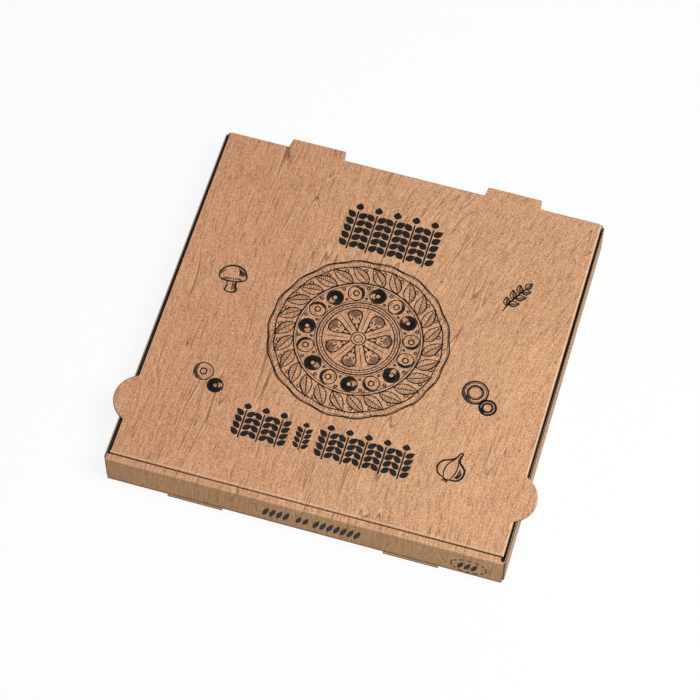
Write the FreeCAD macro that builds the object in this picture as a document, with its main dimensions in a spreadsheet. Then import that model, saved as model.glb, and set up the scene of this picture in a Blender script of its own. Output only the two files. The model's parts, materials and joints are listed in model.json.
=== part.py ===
import FreeCAD, Part
import math
import os
import re
import Sketcher

# A flat corrugated pizza box, folded from one die-cut blank and shown closed. X runs left to right,
# Y from the front wall to the rear crease and Z up. The origin is the middle of the underside.
# The blank is two solids, because the lid turns on the rear crease: the tray and the lid.

os.makedirs("parts", exist_ok=True)
document = FreeCAD.newDocument("pizza_box")

# Driving sizes
SIZES = {
    "box_width": (334, "over the outer faces of the side walls"),
    "box_depth": (332, "from the front face to the rear face"),
    "box_height": (34, "from the underside to the top of the closed lid"),
    "board": (1.6, "thickness of the corrugated board"),
    "wall_step": (2, "how far the front and rear walls end short of the side walls' outer faces"),
    "band": (6.2, "depth of the rolled-over top of the front wall"),
    "inner_gap": (1.9, "from the side walls to the ends of the inner front panel"),
    "flap_gap": (0.3, "slack between the rear wall and its corner flaps"),
    "corner_flap": (60, "length of the corner flaps inside the front wall"),
    "window_clear": (5, "from the rear windows to the ends of the rear corner flaps"),
    "edge_gap": (0.4, "free height under the corner flaps and the inner front panel"),
    "lock_middle": (90.4, "from the centre line to the middle of a lock tab"),
    "lock_width": (46, "width of a lock tab of the inner front panel"),
    "lock_gap": (0.4, "play of a lock tab in its slot"),
    "lip_reach": (1.2, "how far the floor stands out below the front wall at a lock tab"),
    "lip_slit": (0.35, "height of the cut between that lip and the front wall"),
    "hinge_gap": (0.15, "from the crease's round to the top edge of the rear wall"),
    "rest_gap": (0.2, "from the top edges of the side walls to the ears"),
    "side_gap_rear": (1.2, "from the side walls to the lid, at the rear crease"),
    "side_gap_front": (1.9, "from the side walls to the lid, at its front crease"),
    "front_gap": (0.8, "from the rolled front wall to the front crease of the lid"),
    "side_flap": (27, "depth of the lid's side flaps"),
    "side_flap_start": (5, "from the rear and front creases to the side flaps"),
    "side_flap_slope": (9, "how far the side flaps' ends run in towards their lower edge"),
    "tuck_flap": (25, "depth of the lid's front tuck flap"),
    "tuck_lean": (4, "degrees by which the tuck flap leans in"),
    "tuck_slope": (7, "how far the tuck flap's ends run in towards its lower edge"),
    "ear_radius": (22.5, "radius of the round ears beside the lid"),
    "ear_reach": (13.6, "how far the ears stand out past the lid's side creases"),
    "ear_from_front": (60, "from the front face to the middle of the ears"),
    "die_cut": (0.3, "width of the cuts round the ears and the rear tabs"),
    "tab_middle": (86.4, "from the centre line to the middle of a rear tab"),
    "tab_width": (49.4, "width of a rear tab at the crease"),
    "tab_narrowing": (1, "how much of its width a rear tab loses on each side"),
    "tab_length": (8.5, "how far the rear tabs stand out past the rear wall"),
    "tab_corner": (1.8, "corner radius of the rear tabs"),
}

sheet = document.addObject("Spreadsheet::Sheet", "Sizes")
for row, (alias, (value, meaning)) in enumerate(SIZES.items(), start=1):
    sheet.set("A%d" % row, meaning)
    sheet.set("B%d" % row, str(value))
    sheet.setAlias("B%d" % row, alias)
document.recompute()

# Places that follow from the driving sizes
FRONT = "(-box_depth / 2)"
REAR = "(box_depth / 2)"
SIDE = "(box_width / 2)"
LID_UNDERSIDE = "(box_height - board)"
SIDE_TOP = "(box_height - board - rest_gap)"
REAR_TOP = "(box_height - board - hinge_gap)"
FLAP_BOTTOM = "(board + edge_gap)"
BAND_REAR = "(band - box_depth / 2)"
# The corner flaps lie midway in the double front wall, and against the rear wall.
FRONT_FLAP_FACE = "((band - board) / 2 - box_depth / 2)"
REAR_FLAP_FACE = "(box_depth / 2 - board - flap_gap)"
# The lid turns about the middle of the board at the rear crease.
HINGE_Y = "(box_depth / 2 - board / 2)"
HINGE_Z = "(box_height - board / 2)"
LID_FRONT = "(band + front_gap - box_depth / 2)"
LID_LENGTH = "(box_depth - band - front_gap - board / 2)"
EAR_Y = "(ear_from_front - box_depth / 2)"
EAR_INSET = "(ear_radius - ear_reach)"


def lid_side(from_front):
    """Half the lid's width at a distance behind its front crease."""
    narrowing = "(side_gap_front - side_gap_rear) * (1 - %s / %s)" % (from_front, LID_LENGTH)
    return "(box_width / 2 - board - side_gap_rear - %s)" % narrowing


def bound(text):
    """The expression of a text, with the sheet named before each alias."""
    return re.sub("[a-z_]+", lambda word: ("Sizes." if word.group() in SIZES else "") + word.group(), text)


def number(text):
    """The present value of such a text, for the first place of a point."""
    return float(sheet.evalExpression(text))


def new_body(name):
    body = document.addObject("PartDesign::Body", name)
    body.Label = name
    body.AllowCompound = True
    return body


def new_sketch(body, name, plane, away="0"):
    """A sketch on one of the body's origin planes, or away from it along its normal."""
    sketch = body.newObject("Sketcher::SketchObject", name)
    support = [item for item in body.Origin.OriginFeatures if item.Role == plane][0]
    sketch.AttachmentSupport = [(support, "")]
    sketch.MapMode = "FlatFace"
    sketch.setExpression("AttachmentOffset.Base.z", bound(away))
    return sketch


def tie(sketch, constraint, text):
    """Adds a constraint whose value follows the sheet."""
    index = sketch.addConstraint(constraint)
    name = "size%d" % index
    sketch.renameConstraint(index, name)
    sketch.setExpression("Constraints." + name, bound(text))


def outline(sketch, corners):
    """Draws a closed outline. Each corner is (across, up), and its edge runs straight to the next one,
    or as an arc if the corner adds (centre across, centre up, radius)."""
    first = sketch.GeometryCount
    places = [FreeCAD.Vector(number(corner[0]), number(corner[1]), 0) for corner in corners]
    ends = []
    for index, corner in enumerate(corners):
        start = places[index]
        finish = places[(index + 1) % len(places)]
        if len(corner) == 2:
            sketch.addGeometry(Part.LineSegment(start, finish))
            ends.append((1, 2))
            continue
        centre = FreeCAD.Vector(number(corner[2]), number(corner[3]), 0)
        anticlockwise = (start - centre).cross(finish - centre).z > 0
        low, high = (start, finish) if anticlockwise else (finish, start)
        turn_low = math.atan2(low.y - centre.y, low.x - centre.x)
        turn_high = math.atan2(high.y - centre.y, high.x - centre.x)
        circle = Part.Circle(centre, FreeCAD.Vector(0, 0, 1), number(corner[4]))
        sketch.addGeometry(Part.ArcOfCircle(circle, turn_low, turn_high))
        ends.append((1, 2) if anticlockwise else (2, 1))
    for index, corner in enumerate(corners):
        edge = first + index
        start, finish = ends[index]
        following = (index + 1) % len(corners)
        next_start = ends[following][0]
        sketch.addConstraint(Sketcher.Constraint("Coincident", edge, finish, first + following, next_start))
        tie(sketch, Sketcher.Constraint("DistanceX", -1, 1, edge, start, places[index].x), corner[0])
        tie(sketch, Sketcher.Constraint("DistanceY", -1, 1, edge, start, places[index].y), corner[1])
        if len(corner) > 2:
            tie(sketch, Sketcher.Constraint("Radius", edge, number(corner[4])), corner[4])


def box_outline(left, right, bottom, top):
    return [(left, bottom), (right, bottom), (right, top), (left, top)]


def round_outline(across, up, radius):
    """A full circle, as four quarter arcs."""
    east = "(%s + %s)" % (across, radius)
    west = "(%s - %s)" % (across, radius)
    north = "(%s + %s)" % (up, radius)
    south = "(%s - %s)" % (up, radius)
    arc = (across, up, radius)
    return [(east, up) + arc, (across, north) + arc, (west, up) + arc, (across, south) + arc]


def mirrored(corners):
    """The same outline on the other side of the centre line."""
    turned = []
    for corner in corners:
        centre = ("(-%s)" % corner[2],) + corner[3:] if len(corner) > 2 else ()
        turned.append(("(-%s)" % corner[0], corner[1]) + centre)
    return turned


def extrude(body, kind, sketch, length, both_ways=False):
    """Pads or pockets a sketch: along its normal, or half to each side of its plane."""
    feature = body.newObject("PartDesign::" + kind, sketch.Name + "_" + kind.lower())
    feature.Profile = sketch
    feature.SideType = "Symmetric" if both_ways else "One side"
    feature.setExpression("Length", bound(length))
    body.Tip = feature
    return feature


def strip(body, name, corners, length, plane="YZ_Plane", away="0"):
    """A run of folded board: its section, extruded half to each side of its plane."""
    section = new_sketch(body, name, plane, away)
    outline(section, corners)
    return extrude(body, "Pad", section, length, both_ways=True)


# The tray: floor, four walls, corner flaps, lock tabs and lips
tray = new_body("tray")

floor = new_sketch(tray, "floor", "XY_Plane")
outline(floor, box_outline("(board - box_width / 2)", "(box_width / 2 - board)",
                           "(board - box_depth / 2)", "(box_depth / 2 - board)"))
extrude(tray, "Pad", floor, "board")

# The front wall rises from the floor, rolls over the band and comes down again inside. Each fold is
# an arc of the board's thickness round the inner corner.
OUTER_INSIDE = "(board - box_depth / 2)"
INNER_OUTSIDE = "(band - board - box_depth / 2)"
WALL_WIDTH = "(box_width - 2 * wall_step)"
strip(tray, "rolled_front_wall", [
    (OUTER_INSIDE, "0", OUTER_INSIDE, "board", "board"),
    (FRONT, "board"),
    (FRONT, LID_UNDERSIDE, OUTER_INSIDE, LID_UNDERSIDE, "board"),
    (OUTER_INSIDE, "box_height"),
    (INNER_OUTSIDE, "box_height", INNER_OUTSIDE, LID_UNDERSIDE, "board"),
    (BAND_REAR, LID_UNDERSIDE),
    (OUTER_INSIDE, LID_UNDERSIDE),
], WALL_WIDTH)

# The inner panel is shorter, because it stands between the side walls.
inner_panel = new_sketch(tray, "inner_front_panel", "XY_Plane", FLAP_BOTTOM)
INNER_END = "(box_width / 2 - board - inner_gap)"
outline(inner_panel, box_outline("(-%s)" % INNER_END, INNER_END, INNER_OUTSIDE, BAND_REAR))
extrude(tray, "Pad", inner_panel, "(%s - %s)" % (LID_UNDERSIDE, FLAP_BOTTOM))

REAR_INSIDE = "(box_depth / 2 - board)"
strip(tray, "rear_wall", [
    (REAR_INSIDE, "0", REAR_INSIDE, "board", "board"),
    (REAR, "board"),
    (REAR, REAR_TOP),
    (REAR_INSIDE, REAR_TOP),
], WALL_WIDTH)

# The side walls run between the folds of their corner flaps, and their top edges are raw board.
SIDE_INSIDE = "(box_width / 2 - board)"
side_section = [
    (SIDE_INSIDE, "0", SIDE_INSIDE, "board", "board"),
    (SIDE, "board"),
    (SIDE, SIDE_TOP),
    (SIDE_INSIDE, SIDE_TOP),
]
SIDE_MIDDLE = "((%s + %s) / 2)" % (FRONT_FLAP_FACE, REAR_FLAP_FACE)
SIDE_LENGTH = "(%s - %s - 2 * board)" % (REAR_FLAP_FACE, FRONT_FLAP_FACE)
side_walls = new_sketch(tray, "side_walls", "XZ_Plane", "(-%s)" % SIDE_MIDDLE)
outline(side_walls, side_section)
outline(side_walls, mirrored(side_section))
extrude(tray, "Pad", side_walls, SIDE_LENGTH, both_ways=True)

# The rear corner flaps end short of the windows, so that the rear tabs swing past them.
TAB_INNER = "(tab_middle - tab_width / 2)"
TAB_OUTER = "(tab_middle + tab_width / 2)"
FRONT_FLAP_END = "(box_width / 2 - corner_flap)"
REAR_FLAP_END = "(%s + die_cut + window_clear)" % TAB_OUTER
corner_flaps = new_sketch(tray, "corner_flaps", "XY_Plane", FLAP_BOTTOM)
for face, inward, end in ((FRONT_FLAP_FACE, "+", FRONT_FLAP_END), (REAR_FLAP_FACE, "-", REAR_FLAP_END)):
    back = "(%s %s board)" % (face, inward)
    flap = [
        (SIDE, back, SIDE_INSIDE, back, "board"),
        (SIDE_INSIDE, face),
        (end, face),
        (end, back),
    ]
    outline(corner_flaps, flap)
    outline(corner_flaps, mirrored(flap))
extrude(tray, "Pad", corner_flaps, "(%s - %s)" % (SIDE_TOP, FLAP_BOTTOM))

# The lock tabs reach down through slots in the floor and end level with its underside.
LOCK_INNER = "(lock_middle - lock_width / 2)"
LOCK_OUTER = "(lock_middle + lock_width / 2)"
slots = new_sketch(tray, "lock_slots", "XY_Plane")
slot = box_outline("(%s - lock_gap)" % LOCK_INNER, "(%s + lock_gap)" % LOCK_OUTER,
                   "(%s - lock_gap)" % INNER_OUTSIDE, "(%s + lock_gap)" % BAND_REAR)
outline(slots, slot)
outline(slots, mirrored(slot))
extrude(tray, "Pocket", slots, "(4 * board)", both_ways=True)

locks = new_sketch(tray, "lock_tabs", "XY_Plane", "(lock_gap / 2)")
lock = box_outline(LOCK_INNER, LOCK_OUTER, INNER_OUTSIDE, BAND_REAR)
outline(locks, lock)
outline(locks, mirrored(lock))
extrude(tray, "Pad", locks, "(2 * board + edge_gap)")

# At each lock tab a lip of the floor stays flat and stands out below the front wall.
lip_cuts = new_sketch(tray, "lip_cuts", "XY_Plane")
lip_cut = box_outline(LOCK_INNER, LOCK_OUTER, "(%s - board)" % FRONT, OUTER_INSIDE)
outline(lip_cuts, lip_cut)
outline(lip_cuts, mirrored(lip_cut))
extrude(tray, "Pocket", lip_cuts, "(2 * (board + lip_slit))", both_ways=True)

lips = new_sketch(tray, "lips", "XY_Plane")
lip = box_outline(LOCK_INNER, LOCK_OUTER, "(%s - lip_reach)" % FRONT, OUTER_INSIDE)
outline(lips, lip)
outline(lips, mirrored(lip))
extrude(tray, "Pad", lips, "board")

# The rear tabs of the lid are cut out of the rear wall, which leaves a window below each.
windows = new_sketch(tray, "tab_windows", "XZ_Plane", "(-%s)" % REAR)
window = box_outline("(%s - die_cut)" % TAB_INNER, "(%s + die_cut)" % TAB_OUTER,
                     "(%s - tab_length - board / 2 - die_cut)" % HINGE_Z, "box_height")
outline(windows, window)
outline(windows, mirrored(window))
extrude(tray, "Pocket", windows, "(3 * board)", both_ways=True)

# The lid: panel, side flaps, tuck flap, ears and rear tabs
lid = new_body("lid")


def side_flap_section(side, from_front):
    """One end of a side flap: the fold's arc and the flap that hangs from it."""
    half = lid_side(from_front)
    inner = "(%s - board)" % half
    section = [
        (inner, "box_height", inner, LID_UNDERSIDE, "board"),
        (half, LID_UNDERSIDE),
        (half, "(box_height - side_flap)"),
        (inner, "(box_height - side_flap)"),
    ]
    return mirrored(section) if side == "left" else section


for side in ("left", "right"):
    front_end = new_sketch(lid, side + "_flap_front_end", "XZ_Plane", "(-%s)" % LID_FRONT)
    outline(front_end, side_flap_section(side, "0"))
    rear_end = new_sketch(lid, side + "_flap_rear_end", "XZ_Plane", "(-%s)" % HINGE_Y)
    outline(rear_end, side_flap_section(side, LID_LENGTH))
    flap_loft = lid.newObject("PartDesign::AdditiveLoft", side + "_side_flap")
    flap_loft.Profile = front_end
    flap_loft.Sections = [rear_end]
    flap_loft.Ruled = True
    lid.Tip = flap_loft

# Both ends of the side flaps slope, and the ears leave a round notch in them.
cuts = new_sketch(lid, "side_flap_cuts", "YZ_Plane")
FLAP_UNDER = "(box_height - 2 * side_flap)"
for crease, inward, beyond in ((LID_FRONT, "+", FRONT), (HINGE_Y, "-", REAR)):
    flap_start = "(%s %s side_flap_start)" % (crease, inward)
    flap_low = "(%s %s 2 * side_flap_slope)" % (flap_start, inward)
    outline(cuts, [
        (beyond, LID_UNDERSIDE),
        (flap_start, LID_UNDERSIDE),
        (flap_low, FLAP_UNDER),
        (beyond, FLAP_UNDER),
    ])
outline(cuts, round_outline(EAR_Y, "(box_height + %s)" % EAR_INSET, "(ear_radius + die_cut)"))
extrude(lid, "Pocket", cuts, "(2 * box_width)", both_ways=True)

# The front fold turns past a right angle, so that the tuck flap leans in.
FOLD_Y = "(%s + board)" % LID_FRONT
strip(lid, "front_fold", [
    (FOLD_Y, "box_height", FOLD_Y, LID_UNDERSIDE, "board"),
    ("(%s - board * cos(tuck_lean))" % FOLD_Y, "(%s - board * sin(tuck_lean))" % LID_UNDERSIDE),
    (FOLD_Y, LID_UNDERSIDE),
], "(2 * %s)" % lid_side("0"))

tuck = new_sketch(lid, "tuck_flap", "XZ_Plane", "(-%s)" % FOLD_Y)
tuck.AttachmentOffset = FreeCAD.Placement(FreeCAD.Vector(), FreeCAD.Rotation(FreeCAD.Vector(1, 0, 0), 1))
tuck.setExpression("AttachmentOffset.Base.y", bound(LID_UNDERSIDE))
tuck.setExpression("AttachmentOffset.Rotation.Angle", bound("tuck_lean"))
TUCK_SIDE = "(%s - board)" % lid_side("0")
outline(tuck, [
    ("(-%s)" % TUCK_SIDE, "0"),
    (TUCK_SIDE, "0"),
    ("(%s - tuck_slope)" % TUCK_SIDE, "(board - tuck_flap)"),
    ("(tuck_slope - %s)" % TUCK_SIDE, "(board - tuck_flap)"),
])
extrude(lid, "Pad", tuck, "board")

# The panel ends at the tangent lines of its folds.
panel = new_sketch(lid, "panel", "XY_Plane", LID_UNDERSIDE)
PANEL_FRONT = "(%s - board)" % lid_side("board")
PANEL_REAR = "(%s - board)" % lid_side(LID_LENGTH)
outline(panel, [
    ("(-%s)" % PANEL_FRONT, FOLD_Y),
    (PANEL_FRONT, FOLD_Y),
    (PANEL_REAR, HINGE_Y),
    ("(-%s)" % PANEL_REAR, HINGE_Y),
])
extrude(lid, "Pad", panel, "board")

# The crease at the rear is round about the hinge line.
strip(lid, "rear_crease", [
    (HINGE_Y, "box_height", HINGE_Y, HINGE_Z, "(board / 2)"),
    (REAR, HINGE_Z, HINGE_Y, HINGE_Z, "(board / 2)"),
    (HINGE_Y, LID_UNDERSIDE),
], "(2 * %s)" % PANEL_REAR)

# Each ear is the part of a circle outside the panel, and rests on the side wall's top edge.
ears = new_sketch(lid, "ears", "XY_Plane", LID_UNDERSIDE)
EAR_SIDE = lid_side("(ear_from_front - band - front_gap)")
EAR_X = "(%s - %s)" % (EAR_SIDE, EAR_INSET)
EAR_ROOT = "(%s - board)" % EAR_SIDE
EAR_CHORD = "sqrt(ear_radius ^ 2 - (%s - board) ^ 2)" % EAR_INSET
ear = [
    (EAR_ROOT, "(%s - %s)" % (EAR_Y, EAR_CHORD), EAR_X, EAR_Y, "ear_radius"),
    (EAR_ROOT, "(%s + %s)" % (EAR_Y, EAR_CHORD)),
]
outline(ears, ear)
outline(ears, mirrored(ear))
extrude(lid, "Pad", ears, "board")

tabs = new_sketch(lid, "rear_tabs", "XY_Plane", LID_UNDERSIDE)
TIP = "(%s + tab_length)" % REAR
SHOULDER = "(%s - tab_corner)" % TIP
TIP_INNER = "(%s + tab_narrowing)" % TAB_INNER
TIP_OUTER = "(%s - tab_narrowing)" % TAB_OUTER
tab = [
    (TAB_INNER, HINGE_Y),
    (TAB_OUTER, HINGE_Y),
    (TIP_OUTER, SHOULDER, "(%s - tab_corner)" % TIP_OUTER, SHOULDER, "tab_corner"),
    ("(%s - tab_corner)" % TIP_OUTER, TIP),
    ("(%s + tab_corner)" % TIP_INNER, TIP, "(%s + tab_corner)" % TIP_INNER, SHOULDER, "tab_corner"),
    (TIP_INNER, SHOULDER),
]
outline(tabs, tab)
outline(tabs, mirrored(tab))
extrude(lid, "Pad", tabs, "board")

document.recompute()
for item in document.Objects:
    if {"Invalid", "Error"} & set(item.State):
        raise RuntimeError("%s did not build: %s" % (item.Label, item.State))
for body in (tray, lid):
    shape = body.Shape
    if shape.isNull() or not shape.isValid() or len(shape.Solids) != 1:
        raise RuntimeError("%s is not one sound solid" % body.Label)
    shape.exportStep("parts/%s.step" % body.Label)
    print(body.Label, round(shape.Volume), "mm3", shape.BoundBox)
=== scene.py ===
# %% [markdown]
# # A printed pizza box
# The box is one sheet of thin corrugated board, cut, creased and folded. Its solids come from the frame:
# a tray and a lid that turns on the rear crease. This lesson dresses them. It gives the board its printed
# wood grain, its plain inside and its fluted cut edges, and then prints black line art on the lid and on
# the front wall. The frame is loaded first, because every later size is read from it.

# %% Load the frame
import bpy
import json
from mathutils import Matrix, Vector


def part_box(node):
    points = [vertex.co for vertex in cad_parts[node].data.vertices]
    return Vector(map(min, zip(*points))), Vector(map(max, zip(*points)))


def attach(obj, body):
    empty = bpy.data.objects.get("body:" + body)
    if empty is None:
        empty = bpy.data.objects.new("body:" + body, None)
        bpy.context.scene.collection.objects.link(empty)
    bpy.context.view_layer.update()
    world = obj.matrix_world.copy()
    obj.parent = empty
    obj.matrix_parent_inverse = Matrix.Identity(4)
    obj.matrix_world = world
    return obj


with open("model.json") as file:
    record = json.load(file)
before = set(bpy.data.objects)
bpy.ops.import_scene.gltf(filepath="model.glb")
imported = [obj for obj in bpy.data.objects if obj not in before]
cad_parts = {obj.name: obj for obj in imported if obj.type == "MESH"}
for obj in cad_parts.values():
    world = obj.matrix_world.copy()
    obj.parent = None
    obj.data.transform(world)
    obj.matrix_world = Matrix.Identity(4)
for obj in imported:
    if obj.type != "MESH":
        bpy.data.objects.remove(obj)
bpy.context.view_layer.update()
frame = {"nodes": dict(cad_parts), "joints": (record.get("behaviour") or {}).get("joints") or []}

import json
import math
import random
import bpy
from mathutils import Matrix, Vector

# %% [markdown]
# ## Sizes
# The frame is in metres and the sizes here are in millimetres, because board and print are thought of that
# way. The lid's hinge runs along the middle of the board, so its height below the top gives the board's
# thickness. The corners of the two nodes give the rest. The skin is how far from a face a point may lie and
# still count as on it.

# %% Read the sizes
MM = 0.001
_, tray_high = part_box("tray")
lid_low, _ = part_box("lid")
hinge = frame["joints"][0]["pos_m"]

TOP = tray_high[2] / MM
BOARD = 2 * (TOP - hinge[2] / MM)
SIDE = tray_high[0] / MM
REAR = tray_high[1] / MM
FRONT = -REAR
HINGE_Y = hinge[1] / MM
LID_FRONT = lid_low[1] / MM
BAND = 6.2
BAND_REAR = FRONT + BAND
WALL_STEP = 2
REST_GAP = 0.2
SKIN = 0.02
print("board %.2f mm, tray %.0f x %.0f x %.0f mm" % (BOARD, 2 * SIDE, 2 * REAR, TOP))

# %% [markdown]
# ## Camera
# A camera looks along its own minus Z axis. Two angles and a roll give its three axes, and the distance is
# measured back from the middle of the box. A long lens keeps the sides of the box nearly parallel.

# %% Place the camera
AZIMUTH = math.radians(15.01)
ELEVATION = math.radians(59.67)
ROLL = math.radians(1.43)
DISTANCE = 2.421
AIM_ACROSS = -8.0 * MM
AIM_UP = 7.9 * MM
LENS = 149.65

back = Vector((math.sin(AZIMUTH) * math.cos(ELEVATION),
               -math.cos(AZIMUTH) * math.cos(ELEVATION),
               math.sin(ELEVATION)))
level = Vector((math.cos(AZIMUTH), math.sin(AZIMUTH), 0))
upright = back.cross(level)
right = math.cos(ROLL) * level + math.sin(ROLL) * upright
up = math.cos(ROLL) * upright - math.sin(ROLL) * level
place = back * DISTANCE + right * AIM_ACROSS + up * AIM_UP

bpy.ops.object.select_all(action="DESELECT")
bpy.ops.object.camera_add(location=place)
camera = bpy.context.object
camera.rotation_euler = Matrix((right, up, back)).transposed().to_euler()
camera.data.lens = LENS
bpy.context.scene.camera = camera
print("camera at", [round(value, 3) for value in place])

# %% [markdown]
# ## Studio
# The box stands on a white floor. One broad lamp, above and a little to the front right, lights the lid and
# lets it fade towards the rear left. The front wall stays darker. A grey world fills the shadows.

# %% Light the box
KEY_SIZE = 0.9
KEY_PLACE = Vector((0.72, -0.26, 1.5))
KEY_POWER = 26.5
WORLD_STRENGTH = 0.205

bpy.ops.object.light_add(type="AREA", location=KEY_PLACE)
lamp = bpy.context.object
lamp.name = "key_lamp"
lamp.rotation_euler = KEY_PLACE.to_track_quat("Z", "Y").to_euler()
lamp.data.size = KEY_SIZE
lamp.data.energy = KEY_POWER

world = bpy.data.worlds.new("studio")
bpy.context.scene.world = world
world.use_nodes = True
sky = world.node_tree.nodes["Background"]
sky.inputs["Color"].default_value = (1, 1, 1, 1)
sky.inputs["Strength"].default_value = WORLD_STRENGTH
bpy.context.scene.view_settings.view_transform = "Standard"
print("lit by a %.1f m lamp" % KEY_SIZE)

# %% [markdown]
# ## Shader maths
# A pattern in a material is arithmetic on the surface's coordinates. Written node by node it is hard to
# read, so a small class wraps a socket and turns Python's operators into Math nodes. A second class holds
# one material and adds every other node.

# %% Wrap sockets and materials


class Field:
    """A number that varies over a surface. Each operator adds one Math node."""

    def __init__(self, paint, socket):
        self.paint = paint
        self.socket = socket

    def __add__(self, other):
        return self.paint.maths("ADD", self, other)

    __radd__ = __add__

    def __sub__(self, other):
        return self.paint.maths("SUBTRACT", self, other)

    def __rsub__(self, other):
        return self.paint.maths("SUBTRACT", other, self)

    def __mul__(self, other):
        return self.paint.maths("MULTIPLY", self, other)

    __rmul__ = __mul__

    def __truediv__(self, other):
        return self.paint.maths("DIVIDE", self, other)

    def __gt__(self, other):
        return self.paint.maths("GREATER_THAN", self, other)

    def __lt__(self, other):
        return self.paint.maths("LESS_THAN", self, other)

    def __abs__(self):
        return self.paint.maths("ABSOLUTE", self)


class Paint:
    """One material and its nodes."""

    def __init__(self, name):
        self.material = bpy.data.materials.new(name)
        self.material.use_nodes = True
        self.tree = self.material.node_tree
        self.shader = self.tree.nodes["Principled BSDF"]

    def node(self, kind, settings=None, values=None):
        """Adds a node, sets it up and then fills or links its sockets."""
        made = self.tree.nodes.new(kind)
        for name, setting in (settings or {}).items():
            setattr(made, name, setting)
        self.fill(made, values or {})
        return made

    def fill(self, node, values):
        """Fills or links a node's sockets, by their names or numbers."""
        for name, value in values.items():
            self.feed(node.inputs[name], value)

    def feed(self, socket, value):
        """Links a socket to a field or a colour, or writes a plain value on it."""
        if isinstance(value, Field):
            value = value.socket
        if isinstance(value, bpy.types.NodeSocket):
            self.tree.links.new(value, socket)
        else:
            socket.default_value = value

    def maths(self, operation, *values):
        made = self.node("ShaderNodeMath", {"operation": operation}, dict(enumerate(values)))
        return Field(self, made.outputs[0])

    def larger(self, first, second):
        return self.maths("MAXIMUM", first, second)

    def clear_of_zero(self, value):
        return self.larger(value, 0)

    def distance(self, first, *others):
        """The length of a line from its runs along each axis."""
        total = first * first
        for other in others:
            total = total + other * other
        return self.maths("SQRT", total)

    def step(self, value, low, high):
        """0 below low, 1 above high and smooth between."""
        made = self.node("ShaderNodeMapRange", {"interpolation_type": "SMOOTHSTEP"},
                         {"Value": value, "From Min": low, "From Max": high})
        return Field(self, made.outputs["Result"])

    def choose(self, mask, where_0, where_1):
        """One of two numbers, by a mask of 0 or 1."""
        made = self.node("ShaderNodeMix", {"data_type": "FLOAT"},
                         {"Factor": mask, "A": where_0, "B": where_1})
        return Field(self, made.outputs["Result"])

    def mix(self, mask, color_0, color_1):
        """One of two colours, by a mask from 0 to 1."""
        made = self.node("ShaderNodeMix", {"data_type": "RGBA"}, {"Factor": mask, 6: color_0, 7: color_1})
        return made.outputs[2]

    def vector(self, x, y, z):
        return self.node("ShaderNodeCombineXYZ", None, {"X": x, "Y": y, "Z": z}).outputs[0]

    def noise(self, place, scale, detail=2.0, roughness=0.5):
        made = self.node("ShaderNodeTexNoise", None,
                         {"Vector": place, "Scale": scale, "Detail": detail, "Roughness": roughness})
        return Field(self, made.outputs["Fac"])

    def place_in_mm(self):
        """The surface point in millimetres, in the frame of the box."""
        point = self.node("ShaderNodeTexCoord").outputs["Object"]
        parts = self.node("ShaderNodeSeparateXYZ", None, {"Vector": point})
        return [Field(self, socket) * (1 / MM) for socket in parts.outputs]


print("shader classes ready")

# %% [markdown]
# ## Colours
# The print is a pale ground with a deep tone and a brown line for the grain. It is painted rosier towards the
# left
# and greener on the front wall: painted shade tones for the sides the lamp lights less. The bare liner is a
# plainer kraft, and the fluted core is greyer. Near black and dark brown are painted shade in hollows, gaps
# and creases.
# Each colour is written as an image editor shows it, because that is how a colour is matched, and is then
# turned into the linear values of a shader.

# %% Mix the colours


def srgb(red, green, blue):
    """A colour as an image editor gives it, turned into Blender's linear values."""
    linear = []
    for value in (red, green, blue):
        part = value / 255
        linear.append(part / 12.92 if part <= 0.04045 else ((part + 0.055) / 1.055) ** 2.4)
    return (*linear, 1)


PRINT_PALE = srgb(237, 189, 147)
# A painted shade tone, rosier, for the left, away from the lamp
PRINT_SHADE_ROSE = srgb(240, 183, 144)
PRINT_MIDDLE = srgb(203, 154, 115)
PRINT_DEEP = srgb(166, 113, 75)
PRINT_LINE = srgb(118, 76, 50)
# A painted shade tone, greener, for the front wall
PRINT_SHADE_OLIVE = srgb(180, 148, 96)
FOLD_PALE = srgb(250, 218, 180)
LINER_PALE = srgb(205, 166, 124)
LINER_DEEP = srgb(178, 138, 98)
FIBRE = srgb(112, 78, 50)
FLUTE_PAPER = srgb(176, 162, 140)
# Painted shade: near black for flute hollows, shaded cut edges, a hole and a gap
SHADE_BLACK = srgb(14, 11, 9)
EDGE_LINER = srgb(178, 162, 138)
# Painted shade: dark brown for creases and the front wall's foot
SHADE_BROWN = srgb(40, 22, 12)
RIM_GREY = srgb(108, 98, 88)
INK_BLACK = srgb(20, 19, 19)
INK_WORN = srgb(50, 43, 38)
print("kraft colours set")

# %% [markdown]
# ## Board
# Corrugated board is two flat liners with a wavy sheet between them. The outer liner is printed with a wood
# grain, the inner one is bare, and a cut edge shows the wave. All three follow from one number: how deep a
# point lies below the printed face. It is 0 on the print and equals the board's thickness inside. In a
# fold it is measured from the inner corner, so the print runs round the bend.

# %% [markdown]
# ### Wood grain
# The grain is printed before folding. It runs from front to back, so on the front wall it runs up, and on
# the side walls it runs along. Noise that is drawn out along the grain gives nearly all of it. The lines are
# where such a noise, counted in rings, comes to a whole number, and another noise breaks them up.

# %% Write the grain
RINGS = 13
WANDER = 26
SWEEP_START = -115
SWEEP = 0.0006


def drawn_out(paint, place, across, along, detail=2.0, roughness=0.5):
    """Noise with so many blotches in a millimetre across the grain and along it."""
    x, y, z = place
    return paint.noise(paint.vector(x * across, y * along, z * along), 1.0, detail, roughness)


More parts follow.
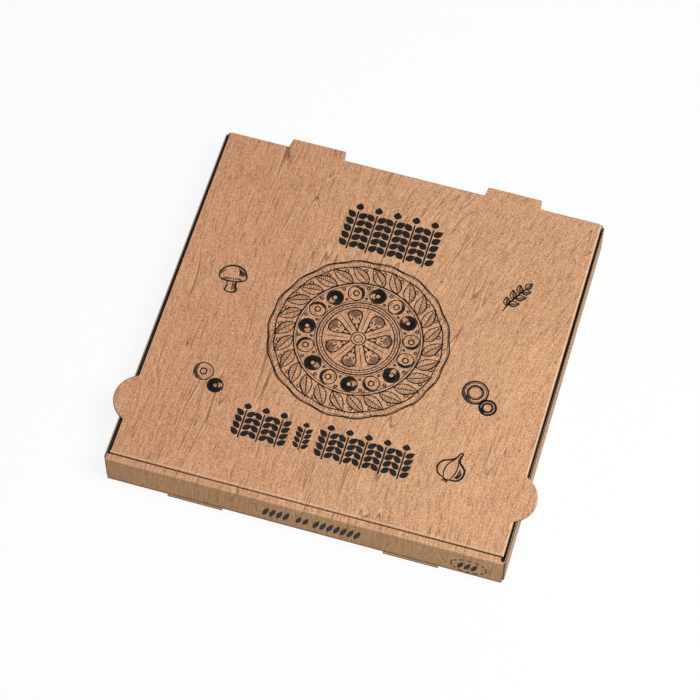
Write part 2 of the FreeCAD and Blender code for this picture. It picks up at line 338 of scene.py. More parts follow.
def wood_grain(paint, across, along, height, gaps=0.44):
    """The printed wood grain: long thin lines that wander and fade, over fine streaks and mottle."""
    flat = (across, along, height)
    wander = drawn_out(paint, flat, 0.006, 0.0045, 1.5) * WANDER
    upper = paint.clear_of_zero(along - SWEEP_START)
    bent = across + wander - upper * upper * paint.step(across, -60, 60) * SWEEP
    wavy = (bent, along, height)
    rings = drawn_out(paint, wavy, 0.05, 0.0034, 1.5) * RINGS
    off_ring = rings - paint.maths("ROUND", rings)
    breaks = drawn_out(paint, wavy, 0.045, 0.012, 2.5)
    seen = paint.step(breaks, gaps, gaps + 0.16)
    lines = paint.step(abs(off_ring), 0.085, 0.0) * seen
    beside = paint.step(abs(off_ring - 0.12), 0.08, 0.0) * seen
    streaks = drawn_out(paint, wavy, 0.7, 0.05, 4.0, 0.68)
    pores = drawn_out(paint, wavy, 1.0, 0.13, 2.5, 0.62)
    mottle = paint.noise(paint.vector(across, along, height), 0.95, 2.0, 0.75)
    tone = drawn_out(paint, flat, 0.012, 0.01)
    shade = tone * 0.1 + streaks * 0.35 + mottle + pores * 0.25
    # A painted shade tone: the ground turns rosier towards the left, away from the lamp
    pale = paint.mix(paint.step(across, 60, -140), PRINT_PALE, PRINT_SHADE_ROSE)
    color = paint.mix(paint.step(shade, 0.58, 1.14), PRINT_DEEP, pale)
    color = paint.mix(paint.step(streaks, 0.43, 0.29) * 0.5, color, PRINT_LINE)
    color = paint.mix(paint.step(pores, 0.38, 0.27) * 0.7, color, PRINT_LINE)
    color = paint.mix(beside * 0.5, color, PRINT_PALE)
    color = paint.mix(lines * 0.7, color, PRINT_LINE)
    return color, lines, mottle


print("grain of %d rings" % RINGS)

# %% [markdown]
# ### Liner, core and tooth
# The bare liner is mottled, with short dark fibres and faint bands of painted shade across the flutes. In the
# core a sine wave is the fluted sheet, and what lies off the wave is a hollow, painted near black as shade.
# The wave runs across the flutes, so each panel gives its own direction.
# A slight bump makes the surface dry paper.

# %% Write the liner and the core
LINER = 0.24
FLUTE_PITCH = 3.4


def bare_liner(paint, across, along, height):
    """The unprinted kraft liner: pale, with short dark fibres and faint bands of painted shade, as where the
    liner dips between the flutes.
    """
    mottle = paint.noise(paint.vector(across, along, height), 0.6, 4.0, 0.7)
    # Painted shade: faint bands across the flutes, as where the liner dips between them
    washboard_shade = paint.noise(paint.vector(across * 0.28, along * 0.01, height * 0.05), 1.0, 2.0)
    color = paint.mix(paint.step(mottle * 0.75 + washboard_shade * 0.25, 0.3, 0.7), LINER_DEEP, LINER_PALE)
    fibres = paint.noise(paint.vector(across * 0.9, along * 0.35, height * 0.5), 1.4, 1.0)
    color = paint.mix(paint.step(fibres, 0.31, 0.22) * 0.6, color, FIBRE)
    return color


def board_color(paint, depth, wave_along, fold, printed, bare):
    """Print, bare liner, or the wave with painted shade in its hollows, by depth. wave_along runs across the
    flutes.
    """
    swing = BOARD / 2 - LINER - 0.1
    turn = wave_along * (2 * math.pi / FLUTE_PITCH)
    wave = paint.maths("SINE", turn) * swing + BOARD / 2
    on_wave = paint.step(abs(depth - wave), 0.26, 0.16)
    # The hollows off the wave are painted near black, as shade
    core = paint.mix(on_wave, SHADE_BLACK, FLUTE_PAPER)
    inside = depth > BOARD / 2
    faces = paint.mix(inside, paint.mix(fold * 0.6, printed, FOLD_PALE), bare)
    in_core = (depth > LINER) * (depth < BOARD - LINER)
    return paint.mix(in_core, faces, core), in_core, on_wave


def crease_shade(paint, wide):
    """How much painted shade a crease gets: more towards the ends of the box, where it stands open a little
    more.
    """
    return paint.step(wide, 50, 150) * 0.3 + 0.25


def finish_board(paint, color, in_core, on_wave, lines, mottle):
    """Dry matte paper with a slight tooth."""
    relief = mottle * 0.5 - lines * 0.15 + on_wave * in_core * 2
    bump = paint.node("ShaderNodeBump", None, {"Strength": 0.35, "Distance": 0.12 * MM, "Height": relief})
    rough = paint.choose(in_core, 0.78, 0.95)
    paint.fill(paint.shader, {"Base Color": color, "Roughness": rough, "Specular IOR Level": 0.28,
                              "Normal": bump.outputs[0]})


print("flutes every %.1f mm" % FLUTE_PITCH)

# %% [markdown]
# ## Lid finish
# The lid is a flat panel with flaps that hang from three sides. The side creases run in a little towards
# the front. Ears and rear tabs stay in the plane of the panel, so a fold is not looked for there. A fold is
# worn pale where it turns, and painted dark lower down, as painted shade where no light reaches; the left
# side's fold gets more of this painted shade. The left ear has a grey rim.

# %% Finish the lid
LID_HALF_FRONT = 163.5
LID_HALF_REAR = 164.2
EAR_X = 154.7
EAR_Y = FRONT + 60
EAR_RADIUS = 22.5
EAR_CHORD = 21
TUCK_LEAN = math.radians(4)
TAB_INNER = 61.7
TAB_OUTER = 111.1


def lid_finish():
    paint = Paint("lid_board")
    x, y, z = paint.place_in_mm()
    under = TOP - BOARD
    taper = (LID_HALF_REAR - LID_HALF_FRONT) / (HINGE_Y - LID_FRONT)
    half = (y - LID_FRONT) * taper + LID_HALF_FRONT
    wide = abs(x)
    below = TOP - z
    in_plane = z > under - SKIN
    at_ear = (abs(y - EAR_Y) < EAR_CHORD) * in_plane
    out_side = paint.clear_of_zero(wide - half + BOARD) * (1 - at_ear)
    lean = y - paint.clear_of_zero(under - z) * math.tan(TUCK_LEAN)
    out_front = paint.clear_of_zero(LID_FRONT + BOARD - lean)
    out_top = paint.clear_of_zero(z - under)
    depth = BOARD - paint.distance(out_side, out_front, out_top)
    beside_tabs = 1 - (wide > TAB_INNER) * (wide < TAB_OUTER)
    depth = depth * (1 - (y > HINGE_Y) * beside_tabs)
    at_tuck = (z < under) * (y < LID_FRONT + 4)
    # Folds: worn pale where they turn, with painted shade below
    on_fold = out_top > SKIN
    worn_side = paint.step(wide - half + BOARD, 0.0, 0.6) * on_fold * (1 - at_ear)
    worn_front = paint.step(LID_FRONT + BOARD - lean, -0.3, 0.2) * on_fold
    fold = paint.larger(worn_side, worn_front * 0.5)
    # Painted shade: dark where a fold falls away below the top, more so on the left side's fold
    fallen_edge = paint.step(below, 0.3, 1.0) * paint.step(paint.larger(out_side, out_front), 0.5, 1.0)
    shaded_side = paint.step(below, 0.08, 0.4) * paint.step(out_side, 0.5, 0.9) * (x < 0)
    crease = paint.larger(fallen_edge * crease_shade(paint, wide), shaded_side)
    from_ear = paint.distance(wide - EAR_X, y - EAR_Y)
    ear_rim = paint.step(from_ear, EAR_RADIUS - 1.1, EAR_RADIUS - 0.5) * (x < -0.6 - half) * at_ear
    # On a side flap the grain runs on down, so its height counts as width
    hangs_side = (wide > half - BOARD - SKIN) * (z < under)
    across = x + z * hangs_side
    printed, lines, mottle = wood_grain(paint, across, y, z)
    bare = bare_liner(paint, x, y, z)
    wave_along = paint.choose(at_tuck, y, z)
    color, in_core, on_wave = board_color(paint, depth, wave_along, fold, printed, bare)
    # The painted shade in the folds, fading out by 4 mm below the top
    color = paint.mix(crease * paint.step(below, 4, 1.5), color, SHADE_BROWN)
    color = paint.mix(ear_rim * 0.65, color, RIM_GREY)
    finish_board(paint, color, in_core, on_wave, lines, mottle)
    return paint.material


def give(node, material):
    """Puts a material on a node of the frame."""
    mesh = frame["nodes"][node].data
    mesh.materials.clear()
    mesh.materials.append(material)


give("lid", lid_finish())
print("lid finished")

# %% [markdown]
# ## Tray finish
# The tray's outer shell is the floor and four walls, with one fold at each edge. Inside it stand the rolled
# front wall's inner panel, whose printed side faces the pizza, and the corner flaps, whose bare side does.
# The depth is worked out for the shell first, and then each of the other panels takes its place over.

# %% Find the depth in the tray
SIDE_INSIDE = SIDE - BOARD
END_INSIDE = REAR - BOARD
INNER_END = SIDE_INSIDE - 0.5
FLAP_FACE = END_INSIDE - 0.3


def tray_depth(paint, x, y, z):
    """The depth, the way across the flutes, and masks for worn folds, the crease's painted shade and the lips.
    """
    wide, long = abs(x), abs(y)
    out_side = paint.clear_of_zero(wide - SIDE_INSIDE)
    out_end = paint.clear_of_zero(long - END_INSIDE)
    out_floor = paint.clear_of_zero(BOARD - z)
    depth = BOARD - paint.distance(out_side, out_end, out_floor)
    # The inner front panel and the corner flaps
    above_floor = z > BOARD + 0.1
    on_inner = above_floor * (y > BAND_REAR - BOARD - SKIN) * (y < BAND_REAR + SKIN) * (wide < INNER_END)
    depth = paint.choose(on_inner, depth, BAND_REAR - y)
    on_flap = above_floor * (y > FLAP_FACE - BOARD - SKIN) * (y < FLAP_FACE + SKIN) * (wide < SIDE_INSIDE)
    depth = paint.choose(on_flap, depth, FLAP_FACE - y)
    # The band on top of the front wall, with a fold at each side
    on_band = (z > TOP - BOARD - SKIN) * (y < BAND_REAR + SKIN)
    out_top = paint.clear_of_zero(z - TOP + BOARD)
    out_front = paint.clear_of_zero(FRONT + BOARD - y)
    out_back = paint.clear_of_zero(y - BAND_REAR + BOARD)
    depth = paint.choose(on_band, depth, BOARD - paint.distance(out_top, out_front, out_back))
    # The lips lie flat in front of the wall
    on_lip = (y < FRONT - 0.05) * (z < BOARD + SKIN)
    depth = paint.choose(on_lip, depth, z)
    on_walls = (long > END_INSIDE - SKIN) * above_floor
    wave_along = paint.choose(paint.larger(on_walls, on_inner), y, z)
    wave_along = paint.choose(paint.larger(on_flap, on_lip), wave_along, x)
    # Where two runs meet, the board is bent
    fold_top = paint.step(out_front * out_top, 0.1, 0.5)
    fold_back = paint.step(out_back * out_top, 0.1, 0.5)
    fold_foot = paint.step(out_end * out_floor, 0.1, 0.5)
    fold = paint.larger(paint.larger(fold_top, fold_back), fold_foot) * 0.15
    # The band's rear crease gets painted shade
    crease = paint.step(out_back, 0.7, 1.3) * on_band
    return depth, wave_along, fold, crease, on_lip


print("tray inside %.1f x %.1f mm" % (2 * SIDE_INSIDE, 2 * END_INSIDE))

# %% [markdown]
# The rest is colour. The front wall's print is tinted a little greener, a painted shade tone, as it faces away
# from the lamp. The side walls end in a cut edge under the lid, and its inner half is painted near black as
# shade. The front wall's ends are pressed flat, painted shade darkens its foot, and a painted dark spot at the
# right end of its band stands for a small shaded hole.

# %% Finish the tray
WALL_END = SIDE - WALL_STEP
WALL_TOP = TOP - BOARD - REST_GAP
HOLE_X = 163.8
HOLE_Y = BAND_REAR - 1.9


def tray_finish():
    paint = Paint("tray_board")
    x, y, z = paint.place_in_mm()
    wide = abs(x)
    depth, wave_along, fold, crease, on_lip = tray_depth(paint, x, y, z)
    across = x + z * (wide > SIDE_INSIDE - SKIN)
    printed, lines, mottle = wood_grain(paint, across, y, z, 0.3)
    # A painted shade tone: the front wall's print is tinted greener, as it faces away from the lamp
    facing = (y < FRONT + 0.5) * (z < TOP - 0.6)
    printed = paint.mix(facing * 0.38, printed, PRINT_SHADE_OLIVE)
    bare = bare_liner(paint, x, y, z)
    color, in_core, on_wave = board_color(paint, depth, wave_along, fold, printed, bare)
    # Painted shade in the band's rear crease
    color = paint.mix(crease * crease_shade(paint, wide), color, SHADE_BROWN)
    # The cut edges of the side walls, painted near black as shade on their inner half
    cut = (abs(z - WALL_TOP) < SKIN) * (wide > SIDE_INSIDE - SKIN)
    color = paint.mix(cut * paint.larger(1 - in_core, (x < 0) * 0.75), color, EDGE_LINER)
    cut_in_shade = cut * paint.step(depth, 0.85, 1.15) * paint.larger(x < 0, paint.step(y, -140, 60))
    color = paint.mix(cut_in_shade, color, SHADE_BLACK)
    # The front wall's ends, painted shade at its foot, and a painted dark spot for a shaded hole
    pressed_end = (abs(wide - WALL_END) < SKIN) * (y < BAND_REAR + SKIN)
    color = paint.mix(pressed_end * 0.8, color, LINER_DEEP)
    # Painted shade at the foot of the front wall and on its lips
    foot = paint.choose(on_lip, paint.step(z, 4.8, 1.4), paint.step(z, 1.3, 0.1)) * (y < FRONT + BOARD)
    color = paint.mix(foot * 0.55, color, SHADE_BROWN)
    # A painted dark spot stands for the shaded hole at the right end of the band
    hole = paint.distance((x - HOLE_X) / 2.2, (y - HOLE_Y) / 2.8) + mottle * 0.5
    color = paint.mix(paint.step(hole, 1.2, 1.0) * (z > TOP - 1.2), color, SHADE_BLACK)
    # Painted shade: near the top, the left wall's inner face is painted near black, where it is seen through
    # the gap beside the lid
    near_bare = paint.step(depth, BOARD - 0.1, BOARD - 0.03)
    gap_shade = (x < 0.3 - SIDE_INSIDE) * near_bare * paint.step(z, 28.5, 31)
    color = paint.mix(gap_shade * 0.9, color, SHADE_BLACK)
    finish_board(paint, color, in_core, on_wave, lines, mottle)
    return paint.material


give("tray", tray_finish())
print("tray finished")

# %% [markdown]
# ## Ink
# The line art is black ink on the print. One material serves every drawing. It is a little thin where the
# paper is rough, so that specks of kraft show through.

# %% Mix the ink


def ink_finish():
    """Black ink that is a little thin where the paper is rough."""
    paint = Paint("black_ink")
    x, y, z = paint.place_in_mm()
    worn = paint.noise(paint.vector(x, y, z), 1.3, 3.0, 0.65)
    cover = paint.noise(paint.vector(x, y, z), 0.08, 2.0)
    color = paint.mix(paint.step(worn * 0.7 + cover * 0.3, 0.5, 0.72), INK_BLACK, INK_WORN)
    color = paint.mix(paint.step(worn, 0.7, 0.76) * 0.7, color, PRINT_MIDDLE)
    paint.fill(paint.shader, {"Base Color": color, "Roughness": 0.55 + worn * 0.2, "Specular IOR Level": 0.3})
    return paint.material


INK = ink_finish()
print("ink mixed")

# %% [markdown]
# Each drawing is a flat sheet a hair above the board. A line is drawn as a pen draws it: a curve says where
# the nib goes, and each point's radius how wide the line is there. The nib is a short straight curve. A
# filled shape is a closed flat curve.

# %% Make the pen and the stencil
INK_LIFT = 0.02
HAND = random.Random(7)
PEN = 1.2


def flat_curve(name, loops, closed):
    """A flat curve in millimetres with one spline for each list of (x, y, width) points."""
    bpy.ops.object.select_all(action="DESELECT")
    bpy.ops.curve.primitive_bezier_curve_add(location=(0, 0, 0))
    drawn = bpy.context.object
    drawn.name = name
    drawn.data.splines.clear()
    drawn.data.dimensions = "2D"
    for loop in loops:
        spline = drawn.data.splines.new("POLY")
        spline.points.add(len(loop) - 1)
        spline.use_cyclic_u = closed
        for point, (x, y, width) in zip(spline.points, loop):
            point.co = (x * MM, y * MM, 0, 1)
            point.radius = width
    return drawn


def to_ink(drawn, body):
    """Turns the curve into a mesh, and lays it on the lid or stands it at the tray's front wall."""
    bpy.ops.object.select_all(action="DESELECT")
    drawn.select_set(True)
    bpy.context.view_layer.objects.active = drawn
    bpy.ops.object.convert(target="MESH")
    bpy.ops.object.mode_set(mode="EDIT")
    bpy.ops.mesh.select_all(action="SELECT")
    bpy.ops.mesh.remove_doubles(threshold=0.001 * MM)
    bpy.ops.object.mode_set(mode="OBJECT")
    if body == "tray":
        drawn.rotation_euler = (math.radians(90), 0, 0)
        drawn.location = (0, (FRONT - INK_LIFT) * MM, 0)
    else:
        drawn.location = (0, 0, (TOP + INK_LIFT) * MM)
    bpy.ops.object.transform_apply(location=True, rotation=True, scale=True)
    drawn.data.materials.clear()
    drawn.data.materials.append(INK)
    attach(drawn, body)


nib = flat_curve("nib", [[(-0.5, 0, 1), (0.5, 0, 1)]], False)


def draw_lines(name, lines, body="lid"):
    """Open pen lines, each a list of (x, y, width)."""
    drawn = flat_curve(name, lines, False)
    drawn.data.bevel_mode = "OBJECT"
    drawn.data.bevel_object = nib
    to_ink(drawn, body)


def draw_shapes(name, shapes, body="lid"):
    """Filled shapes, each a closed list of (x, y)."""
    loops = [[(x, y, 1) for x, y in shape] for shape in shapes]
    drawn = flat_curve(name, loops, True)
    drawn.data.fill_mode = "BOTH"
    to_ink(drawn, body)


print("pen of %.1f mm" % PEN)

# %% [markdown]
# A drawn line is never quite even. The pen presses in the middle of a stroke and lifts at its ends, and the
# hand shakes a little. The next functions give points along arcs and lines with both effects.

# %% Make strokes


def pressed(points, width, taper=0.75, shake=0.12):
    """Adds the pen's width to each point, less at the ends, and shakes the hand."""
    last = max(len(points) - 1, 1)
    stroke = []
    for index, (x, y) in enumerate(points):
        press = math.sin(math.pi * index / last) ** 0.5 if 0 < index < last else 0
        wide = PEN * width * (1 - taper + taper * press) * HAND.uniform(0.88, 1.12)
        stroke.append((x + HAND.uniform(-shake, shake), y + HAND.uniform(-shake, shake), wide))
    return stroke


def arc(center, radius, start, end, steps=0):
    """Points on an arc, with angles in degrees."""
    sweep = math.radians(abs(end - start))
    steps = steps or max(4, int(sweep * 2.4), int(sweep * radius / 1.1))
    points = []
    for index in range(steps + 1):
        angle = math.radians(start + (end - start) * index / steps)
        points.append((center[0] + radius * math.cos(angle), center[1] + radius * math.sin(angle)))
    return points


def ring(center, radius, width, shake=0.12):
    """A closed pen line round a centre. Its ends run past each other, as in a sketch."""
    start = HAND.uniform(0, 360)
    return pressed(arc(center, radius, start, start + 368), width, 0.3, shake)


def turned(points, center, angle, size=1.0):
    """Points drawn about the origin, then sized, turned and moved to a centre."""
    sine, cosine = math.sin(math.radians(angle)), math.cos(math.radians(angle))
    return [(center[0] + size * (x * cosine - y * sine), center[1] + size * (x * sine + y * cosine))
            for x, y in points]


def leaf(center, angle, length, width, pen):
    """A leaf along its own X axis: two sides, a midrib, side veins, and one half shaded with lines."""
    steps = 12

    def swell(index):
        return width / 2 * math.sin(math.pi * (index / steps) ** 0.8)

    def stroke(points, weight, taper=0.4, shake=0.12):
        return pressed(turned(points, center, angle), pen * weight, taper, shake)

    upper = [(index / steps * length, swell(index)) for index in range(steps + 1)]
    lower = [(along, -rise) for along, rise in upper]
    midrib = [(-length * 0.08, 0), (length * 0.5, 0), (length * 0.93, 0)]
    strokes = [stroke(upper, 1), stroke(lower, 1.3), stroke(midrib, 1)]
    for index in range(2, steps - 1):
        along = index / steps * length
        rise = swell(index) * 0.86
        for side in (-1, 1):
            if side > 0 and index % 2:
                continue
            vein = [(along - length * 0.05, side * 0.1), (along + length * 0.05, side * rise)]
            strokes.append(stroke(vein, 0.85 if side < 0 else 0.55, 0.5, 0.05))
    return strokes


print("strokes ready")

# %% [markdown]
# ## Round drawing
# The large round drawing is a plate: a wavy rim, a wreath of leaves, a ring of olives and a sliced tomato in
# the middle. Every part is repeated round the centre by its angle.

# %% Draw the rim and the wreath
WHEEL = (-1.6, -0.4)


def around(radius, angle):
    """A point of the round drawing, by its radius and angle."""
    return (WHEEL[0] + radius * math.cos(math.radians(angle)),
            WHEEL[1] + radius * math.sin(math.radians(angle)))


def wavy_ring(radius, wave, count, pen, turn=0.0):
    """A ring whose radius rises and falls."""
    points = []
    for index in range(241):
        angle = 360 * index / 240
        swell = wave * math.sin(math.radians(count * angle + turn))
        swell += 0.5 * wave * math.sin(math.radians(7 * angle))
        points.append(around(radius + swell, angle))
    return pressed(points, pen, 0.1, 0.1)


wheel = [wavy_ring(71.0, 0.55, 18, 1.15),
         wavy_ring(69.8, 0.5, 18, 0.45, 30),
         wavy_ring(65.6, 0.4, 18, 0.95, 60)]
RIM_TICKS = 170
for index in range(RIM_TICKS):
    turn = 360 / RIM_TICKS * index + HAND.uniform(-1, 1)
    depth = 0.9 + 1.9 * abs(math.sin(math.radians(turn * 4.5))) * HAND.uniform(0.6, 1.0)
    wheel.append(pressed([around(65.9, turn), around(66.1 + depth, turn + 0.9)], 0.55, 0.4, 0.05))
LEAVES = 26
for index in range(LEAVES):
    turn = 360 / LEAVES * index
    wheel += leaf(around(51.4, turn), turn + 47, 19.6, 9.2, 0.8)
    wheel.append(ring(around(62.6, turn + 3.4), 1.35, 0.8, 0.05))
for radius, pen in ((50.6, 1.1), (48.6, 0.55), (34.4, 0.55), (32.6, 1.15)):
    wheel.append(ring(WHEEL, radius, pen, 0.16))
print("leaves %d" % LEAVES)

# %% [markdown]
# The olives stand in a ring, and every second one is dark. Their shading is a stack of arcs that get
# shorter. Dots and short ticks fill the gaps between them.

# %% Draw the ring of olives
OLIVES = 15


def olive(center, radius, angle, dark):
    """A pitted olive: outline, hole and shading. A dark one is shaded all round."""
    strokes = [ring(center, radius, 0.85, 0.08), ring(center, radius * 0.34, 1.1, 0.05)]
    for step in range(6 if dark else 3):
        inner = radius * (0.88 - 0.09 * step)
        reach = 168 - 6 * step if dark else 80 - 14 * step
        shading = arc(center, inner, angle - reach, angle + reach)
        strokes.append(pressed(shading, 0.72 if dark else 0.6, 0.5, 0.05))
    strokes.append(pressed(arc(center, radius * 0.7, angle + 150, angle + 205), 0.4, 0.7, 0.04))
    return strokes


for index in range(OLIVES):
    turn = 360 / OLIVES * (index + 0.5)
    wheel += olive(around(41.5, turn), 6.5, turn - 70, index % 2)
    between = turn + 180 / OLIVES
    for radius, size in ((46.4, 1.1), (36.8, 0.8)):
        wheel.append(ring(around(radius, between), size, 0.9, 0.03))
    for step in range(-2, 3):
        spot = between + step * 1.5
        tick = [around(48.4, spot), around(47.8 - abs(step) * 0.2, spot)]
        wheel.append(pressed(tick, 0.5, 0.3, 0.03))
print("olives %d" % OLIVES)

# %% [markdown]
# The tomato's cells are closed lines whose radius swings once as they go round. Each has shading at its
# outer end and five seeds, and a rib stands between two cells. Short ticks round the edge are its skin.

# %% Slice the tomato
CELLS = 7
SKIN_TICKS = 60
SEEDS = ((17.8, -8.5), (18.4, 0.0), (17.8, 8.5), (13.2, -5.0), (13.2, 5.0))

for index in range(CELLS):
    turn = 360 / CELLS * index + 9
    half = 180 / CELLS
    cell = []
    for step in range(31):
        share = step / 30 * 2 * math.pi
        radius = 16.8 + 9.6 * math.cos(share)
        cell.append(around(radius, turn + half * 0.8 * math.sin(share) * (0.64 + 0.36 * math.cos(share))))
    wheel.append(pressed(cell, 1.0, 0.15, 0.1))
    for step in range(6):
        spread = half * (0.7 - 0.08 * step)
        wheel.append(pressed(arc(WHEEL, 25.4 - 1.05 * step, turn - spread, turn + spread), 0.62, 0.5, 0.07))
    for radius, shift in SEEDS:
        tip, end = around(radius - 1.1, turn + shift * 0.9), around(radius + 1.1, turn + shift)
        wheel.append([(*tip, 0.5), (*around(radius + 0.3, turn + shift), 1.5), (*end, 0.9)])
    rib = turn + half
    wheel.append(pressed([around(8.0, rib), around(16.0, rib), around(27.0, rib)], 0.6, 0.5, 0.08))
for radius, pen in ((30.6, 0.6), (28.4, 0.85), (5.8, 0.9), (3.4, 0.7)):
    wheel.append(ring(WHEEL, radius, pen, 0.12))
for index in range(SKIN_TICKS):
    turn = 360 / SKIN_TICKS * index + HAND.uniform(-1.5, 1.5)
    wheel.append(pressed([around(28.8, turn), around(30.4, turn + 2)], 0.55, 0.4, 0.04))
print("tomato cells %d" % CELLS)

# %% Print the round drawing
WHEEL_SIZE = 1.055


def enlarged(stroke, center, size):
    """Spreads a stroke from a centre and keeps its pen width."""
    return [(center[0] + (x - center[0]) * size, center[1] + (y - center[1]) * size, width)
            for x, y, width in stroke]


draw_lines("round_drawing", [enlarged(stroke, WHEEL, WHEEL_SIZE) for stroke in wheel])
print("round drawing: %d pen lines" % len(wheel))

# %% [markdown]
# ## Wheat ears
# Above and below the round drawing stand rows of bold black wheat ears, cut as a stencil would be. An ear is
# a stem with pairs of grains that lean outwards and one grain on top. A grain is a pointed oval, so one side
# of it is written down and the other mirrors it.

# %% Print the wheat ears
GRAIN_SIDE = [(0.0, 0.0), (0.06, 0.17), (0.15, 0.33), (0.27, 0.45), (0.41, 0.5), (0.56, 0.47), (0.71, 0.37),
              (0.86, 0.2), (1.0, 0.0)]


def grain(x, y, angle, length, width):
    """One grain: a pointed oval that starts at (x, y)."""
    outline = [(along * length, wide * width) for along, wide in GRAIN_SIDE]
    outline += [(along * length, -wide * width) for along, wide in GRAIN_SIDE[-2:0:-1]]
    return turned(outline, (x, y), angle)


def ear(x, foot, width, height, pairs):
    """A wheat ear between two heights."""
    stem = width * 0.05
    pitch = height / (pairs + 1.45)
    neck = foot + pitch * (pairs + 0.3)
    shapes = [[(x - stem, foot), (x + stem, foot), (x + stem, neck), (x - stem, neck)]]
    for index in range(pairs):
        level = foot + pitch * (index + 0.42)
        for side in (-1, 1):
            shapes.append(grain(x + side * width * 0.1, level, 90 - side * 50, width * 0.62, pitch * 0.86))
    rise = pitch * (pairs + 0.45)
    shapes.append(grain(x, foot + rise, 90, height - rise, width * 0.46))
    return shapes


def ear_row(name, left, right, foot, height, count, pairs):
    """A row of ears between two places on the lid."""
    pitch = (right - left) / count
    shapes = []
    for index in range(count):
        shapes += ear(left + pitch * (index + 0.5), foot, pitch * 0.9, height, pairs)
    draw_shapes(name, shapes)


ear_row("upper_ears", -44, 38, 81, 47, 5, 5)
ear_row("lower_ears_left", -77, -31, -117, 33, 3, 4)
ear_row("lower_ear_middle", -25.5, -12.5, -114, 26, 1, 4)
ear_row("lower_ears_right", -7, 72, -117, 33, 5, 4)
print("wheat ears printed")

# %% [markdown]
# ## Front wall
# On the front wall stands a row of plain leaves that lean to the right. They are the same pointed ovals as
# the grains.

# %% Print the front wall


def leaning_leaves(left, count, foot, height, pitch=5.7):
    """A row of plain leaves that lean to the right."""
    return [grain(left + pitch * index, foot, 72, height, pitch * 0.72) for index in range(count)]


front_leaves = leaning_leaves(-33, 4, 9.3, 16.5)
front_leaves += leaning_leaves(-5, 2, 10.6, 13.5)
front_leaves += leaning_leaves(9, 7, 9.3, 16.5)
draw_shapes("front_leaves", front_leaves, "tray")
print("front wall: %d leaves" % len(front_leaves))

# %% [markdown]
# ## Small drawings
# Small kitchen drawings fill the corners of the lid: a mushroom, a sprig, two onion rings, a garlic bulb and
# two olives. Each is a few pen lines through a handful of points. More points are worked out between them,
# so that the corners become bends.

# %% Draw the mushroom


def rounded(points, parts=4):
    """The same path with more points, so that its corners become bends."""
    path = []
    last = len(points) - 1
    for index in range(last):
        before, start, end, after = (points[min(max(index + shift, 0), last)] for shift in (-1, 0, 1, 2))
        for part in range(parts):
            share = part / parts
            spot = []
            for axis in (0, 1):
                pull = 3 * (start[axis] - end[axis]) + after[axis] - before[axis]
                swing = 2 * before[axis] - 5 * start[axis] + 4 * end[axis] - after[axis] + share * pull
                spot.append(start[axis] + share / 2 * (end[axis] - before[axis] + share * swing))
            path.append(tuple(spot))
    return path + [points[-1]]


def sketched(strokes, center, angle, size):
    """Rounds each stroke, sets it in its place and presses the pen. A stroke is its points and a width."""
    return [pressed(turned(rounded(points), center, angle, size), pen, 0.35, 0.06) for points, pen in strokes]


def mushroom(center, size):
    """Cap, rim and stem, with gills and shading."""
    cap = [(-10, 0), (-9.4, 4.4), (-6.4, 8.4), (-1.6, 10.4), (3.6, 10.0), (7.8, 7.2), (9.8, 3.0), (10.2, 0)]
    rim = [(-10, 0), (-7, -2.0), (-2, -2.8), (4, -2.8), (8, -1.8), (10.2, 0)]
    stem_left = [(-3.4, -2.8), (-3.2, -6.4), (-4.2, -10.4), (-1.8, -12)]
    stem_right = [(3.4, -2.8), (3.0, -6.4), (4.2, -10.0), (1.8, -12), (-1.8, -12)]
    strokes = [(cap, 1.5), (rim, 1.2), (stem_left, 1.2), (stem_right, 1.5)]
    for step in range(5):
        strokes.append(([(3.4 + step * 1.1, 9.0 - step * 0.9), (4.6 + step * 0.9, 5.4 - step * 0.5),
                         (4.6 + step * 0.8, 2.0)], 0.75))
    for x in (-7.4, -5.4, -3.4, -1.4, 0.8, 3.0, 5.2, 7.4):
        strokes.append(([(x, -1.7), (x * 0.8, -0.9), (x * 0.6, 0.2)], 0.8))
    for x in (0.6, 1.6, 2.6):
        strokes.append(([(x, -3.8), (x + 0.1, -6.5), (x + 0.3, -10.2)], 0.75))
    strokes.append((arc((-0.6, -1.6), 9.4, 118, 152, 6), 0.7))
    return sketched(strokes, center, 8, size)


draw_lines("mushroom_drawing", mushroom((-118, 26), 1.15))
print("mushroom drawn")

# %% Draw the sprig and the onion rings


def sprig(center, angle):
    """A stem with three pairs of leaves and one at its end."""
    strokes = [pressed(turned([(-16, -1), (-6, 0.4), (6, 0), (14, -0.6)], center, angle), 1.3, 0.4, 0.08)]
    for x, side, length in ((-10, 1, 9), (-8, -1, 9.5), (-2, 1, 10), (0, -1, 10), (6, 1, 9), (8, -1, 8.5)):
        start = turned([(x, 0)], center, angle)[0]
        strokes += leaf(start, angle + side * 42, length, 5.0, 0.8)
    strokes += leaf(turned([(13, -0.5)], center, angle)[0], angle, 8, 4.6, 0.8)
    return strokes


def onion(center, radius):
    """An onion ring: four circles, heavy and light in turn, with a little shading."""
    strokes = []
    for share, pen, shake in ((1, 1.4, 0.08), (0.86, 0.7, 0.06), (0.62, 1.3, 0.06), (0.5, 0.6, 0.05)):
        strokes.append(ring(center, radius * share, pen, shake))
    for step in range(3):
        shading = arc(center, radius * (0.81 - 0.06 * step), 190 + step * 8, 262 - step * 8)
        strokes.append(pressed(shading, 0.5, 0.6, 0.04))
    return strokes


draw_lines("sprig_drawing", sprig((112, 74), 62))
draw_lines("onion_drawing", onion((104, -22), 10.5) + onion((117, -33), 7))
print("sprig and onion rings drawn")

# %% Draw the garlic and two olives


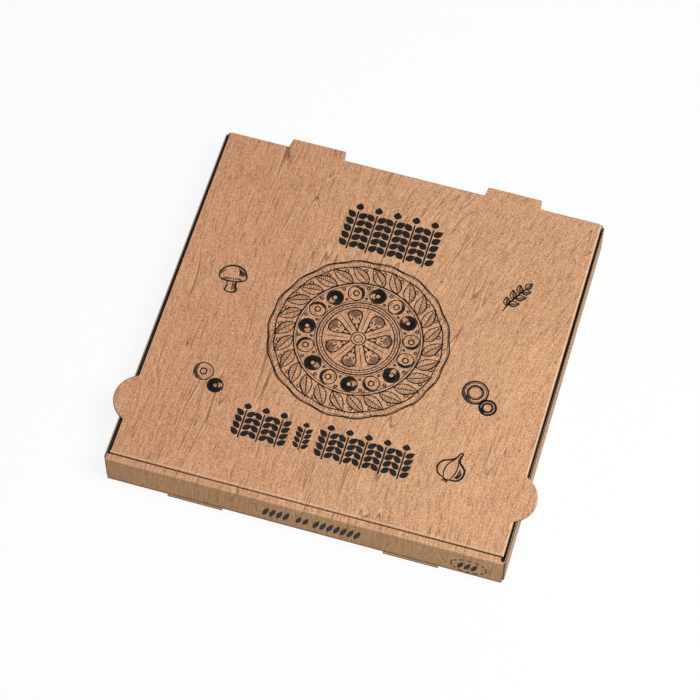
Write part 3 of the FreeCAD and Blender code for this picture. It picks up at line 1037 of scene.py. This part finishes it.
def garlic(center, size):
    """A bulb with its neck, two inner cloves, shading at the right and short roots."""
    left = [(0.4, 12), (-0.6, 8), (-3.0, 5), (-7.6, 1.6), (-9, -3.2), (-6.6, -7.6), (-2, -9)]
    right = [(2.0, 12.2), (1.8, 8), (3.4, 5), (7.8, 1.8), (9, -3.2), (6.8, -7.4), (2.4, -9)]
    base = [(-2, -9), (0.2, -9.8), (2.4, -9)]
    neck = [(0.4, 12), (2.0, 12.2)]
    clove_left = [(-0.4, 7), (-3.4, 1.6), (-3.8, -4), (-2, -9)]
    clove_right = [(1.2, 7), (3.2, 1.6), (3.6, -4), (2.2, -9)]
    strokes = [(left, 1.35), (right, 1.6), (base, 1.4), (neck, 1.2), (clove_left, 1.0), (clove_right, 1.0)]
    for step in range(4):
        shading = [(5.0 + step * 0.8, 1.6 - step), (5.4 + step * 0.7, -3), (4.6 + step * 0.5, -6.4)]
        root = [(-1.4 + step * 0.8, -9.6), (-1.7 + step, -10.6), (-2.2 + step * 1.3, -11.8)]
        strokes += [(shading, 0.7), (root, 0.8)]
    return sketched(strokes, center, -12, size)


draw_lines("garlic_drawing", garlic((104, -94), 1.25))
draw_lines("olive_drawing", olive((-114, -66), 8, 200, 0) + olive((-101, -76), 6.5, 200, 1))
print("garlic and olives drawn")

# %% [markdown]
# ## Oval mark
# A dashed oval with three leaves stands near the right end of the front wall. Each dash is a short arc of
# the oval. It is the last drawing, so the nib is removed after it.

# %% Draw the oval mark
OVAL = (137.8, 14)
OVAL_HALF_WIDTH = 14.6
OVAL_HALF_HEIGHT = 9.8
DASHES = 14

dashes = []
for index in range(DASHES):
    start = 360 / DASHES * index + 5
    angles = [math.radians(start + step) for step in (0, 5, 10, 15)]
    dash = [(OVAL[0] + OVAL_HALF_WIDTH * math.cos(angle), OVAL[1] + OVAL_HALF_HEIGHT * math.sin(angle))
            for angle in angles]
    dashes.append(pressed(dash, 1.5, 0.2, 0.03))
draw_lines("oval_mark", dashes, "tray")
draw_shapes("oval_leaves", leaning_leaves(OVAL[0] - 8.6, 3, OVAL[1] - 6, 12.5), "tray")
bpy.data.objects.remove(nib)
print("oval mark: %d dashes" % DASHES)

# %% [markdown]
# ## Floor
# The floor is staged: it isn't part of the box. To the camera it is mostly plain white, and the rest of it
# is a white matte surface that takes the shadow.

# %% Lay the floor
FLOOR_SIZE = 12
FLOOR_SHADING = 0.1
FLOOR_WHITE = (0.86, 0.86, 0.86, 1)


def floor_finish():
    paint = Paint("white_floor")
    paint.fill(paint.shader, {"Base Color": FLOOR_WHITE, "Roughness": 0.9, "Specular IOR Level": 0.1})
    glow = paint.node("ShaderNodeEmission", None, {"Color": (1, 1, 1, 1), "Strength": 1.0})
    rays = paint.node("ShaderNodeLightPath")
    seen = Field(paint, rays.outputs["Is Camera Ray"]) + Field(paint, rays.outputs["Is Glossy Ray"])
    share = seen * (1 - FLOOR_SHADING)
    blend = paint.node("ShaderNodeMixShader", None, {0: share, 1: paint.shader.outputs[0], 2: glow.outputs[0]})
    paint.fill(paint.tree.nodes["Material Output"], {"Surface": blend.outputs[0]})
    return paint.material


bpy.ops.object.select_all(action="DESELECT")
bpy.ops.mesh.primitive_plane_add(size=FLOOR_SIZE, location=(0, 0, 0))
floor = bpy.context.object
floor.name = "floor"
floor.data.materials.append(floor_finish())
print("floor laid")

# %% [markdown]
# ## Finish
# The last cell ends the lesson.

# %% Finish
print("scene finished")
